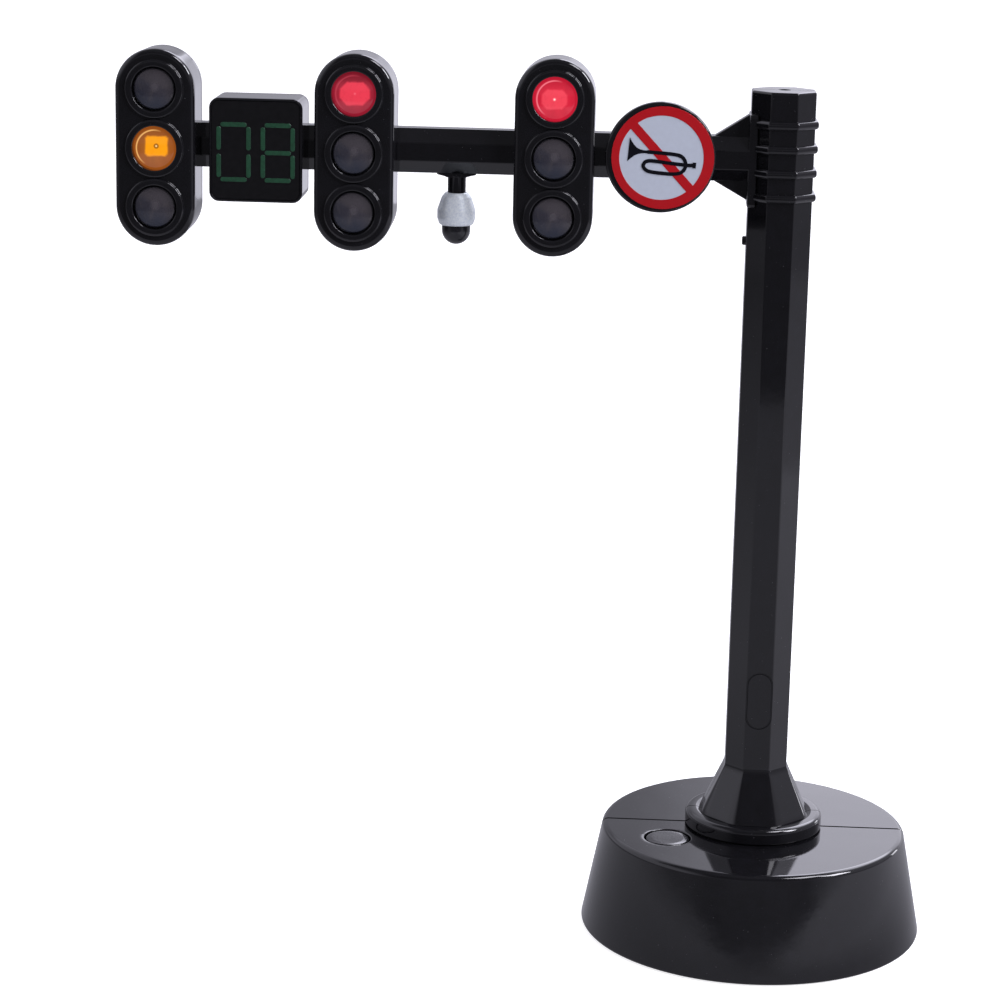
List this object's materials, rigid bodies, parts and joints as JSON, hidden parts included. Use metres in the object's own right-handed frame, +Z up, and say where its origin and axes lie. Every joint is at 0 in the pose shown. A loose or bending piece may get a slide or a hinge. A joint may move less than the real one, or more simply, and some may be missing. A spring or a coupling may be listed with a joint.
{
  "type": "toy signal mast",
  "caption": "Round battery base with push button, octagonal mast and cantilever arm with signal heads, countdown display, dome camera and round prohibition sign.",
  "frame": {"origin": "centre of the foot ring on the surface that the base stands on, on the mast's axis", "axes": "+Z up the mast; the signal faces look along -Y; the arm reaches out along -X"},
  "size_m": [0.1694, 0.0718, 0.1834],
  "materials": {
    "black_abs": "gloss black moulded ABS",
    "smoke_lens": "clear smoky styrene, unlit",
    "lit_red_lens": "red lamp, lit",
    "lit_amber_lens": "amber lamp, lit",
    "display_panel": "matt black filter",
    "digit_green": "dull green seven-segment figures",
    "sign_print": "printed gloss label",
    "silver_paint": "silver grey paint on a small moulding",
    "steel": "zinc plated steel",
    "cell_wrap": "plain printed cell sleeve",
    "board": "green solder mask",
    "led_board": "white solder mask",
    "led_body": "white LED body",
    "chip_black": "black epoxy and components",
    "wire": "thin insulated wire"
  },
  "bodies": {
    "stand": {"arm_front_shell": "black_abs", "arm_rear_shell": "black_abs", "arm_screws": "steel", "base_bottom_plate": "black_abs", "base_front_shell": "black_abs", "base_rear_shell": "black_abs", "base_screws": "steel", "battery_cell_1": "cell_wrap", "battery_cell_2": "cell_wrap", "battery_cell_3": "cell_wrap", "battery_lead": "wire", "board_components": "chip_black", "camera_bracket": "black_abs", "camera_dome": "black_abs", "camera_housing": "silver_paint", "contact_plates": "steel", "contact_springs": "steel", "control_board": "board", "control_chip": "chip_black", "display_digits": "digit_green", "display_housing": "black_abs", "display_module": "led_body", "display_panel": "display_panel", "inner_head_bezel": "black_abs", "inner_head_housing": "black_abs", "inner_led_board": "led_board", "inner_leds": "led_body", "inner_lens_amber": "smoke_lens", "inner_lens_green": "smoke_lens", "inner_lens_red": "lit_red_lens", "mast_front_shell": "black_abs", "mast_rear_shell": "black_abs", "middle_head_bezel": "black_abs", "middle_head_housing": "black_abs", "middle_led_board": "led_board", "middle_leds": "led_body", "middle_lens_amber": "smoke_lens", "middle_lens_green": "smoke_lens", "middle_lens_red": "lit_red_lens", "outer_head_bezel": "black_abs", "outer_head_housing": "black_abs", "outer_led_board": "led_board", "outer_leds": "led_body", "outer_lens_amber": "lit_amber_lens", "outer_lens_green": "smoke_lens", "outer_lens_red": "smoke_lens", "sign_disc": "black_abs", "sign_face": "sign_print", "tact_switch": "chip_black", "wiring_loom": "wire"},
    "mode_button": {"mode_button": "black_abs", "switch_plunger": "chip_black"},
    "battery_door": {"battery_door": "black_abs"},
    "door_screw": {"door_screw": "steel"}
  },
  "joints": [
    {"name": "button_press", "type": "slide", "parent": "stand", "child": "mode_button", "axis": [0, 0, -1], "range_m": [0, 0.0007], "stiffness_N_per_m": 500, "springref_m": -0.0008},
    {"name": "battery_door_hinge", "type": "hinge", "parent": "stand", "child": "battery_door", "pos_m": [-0.02275, 0, 0.0018], "axis": [0, 1, 0], "range_deg": [0, 90]},
    {"name": "door_screw_turn", "type": "hinge", "parent": "battery_door", "child": "door_screw", "pos_m": [0.0272, 0, 0.0018], "axis": [0, 0, 1], "continuous": true}
  ]
}
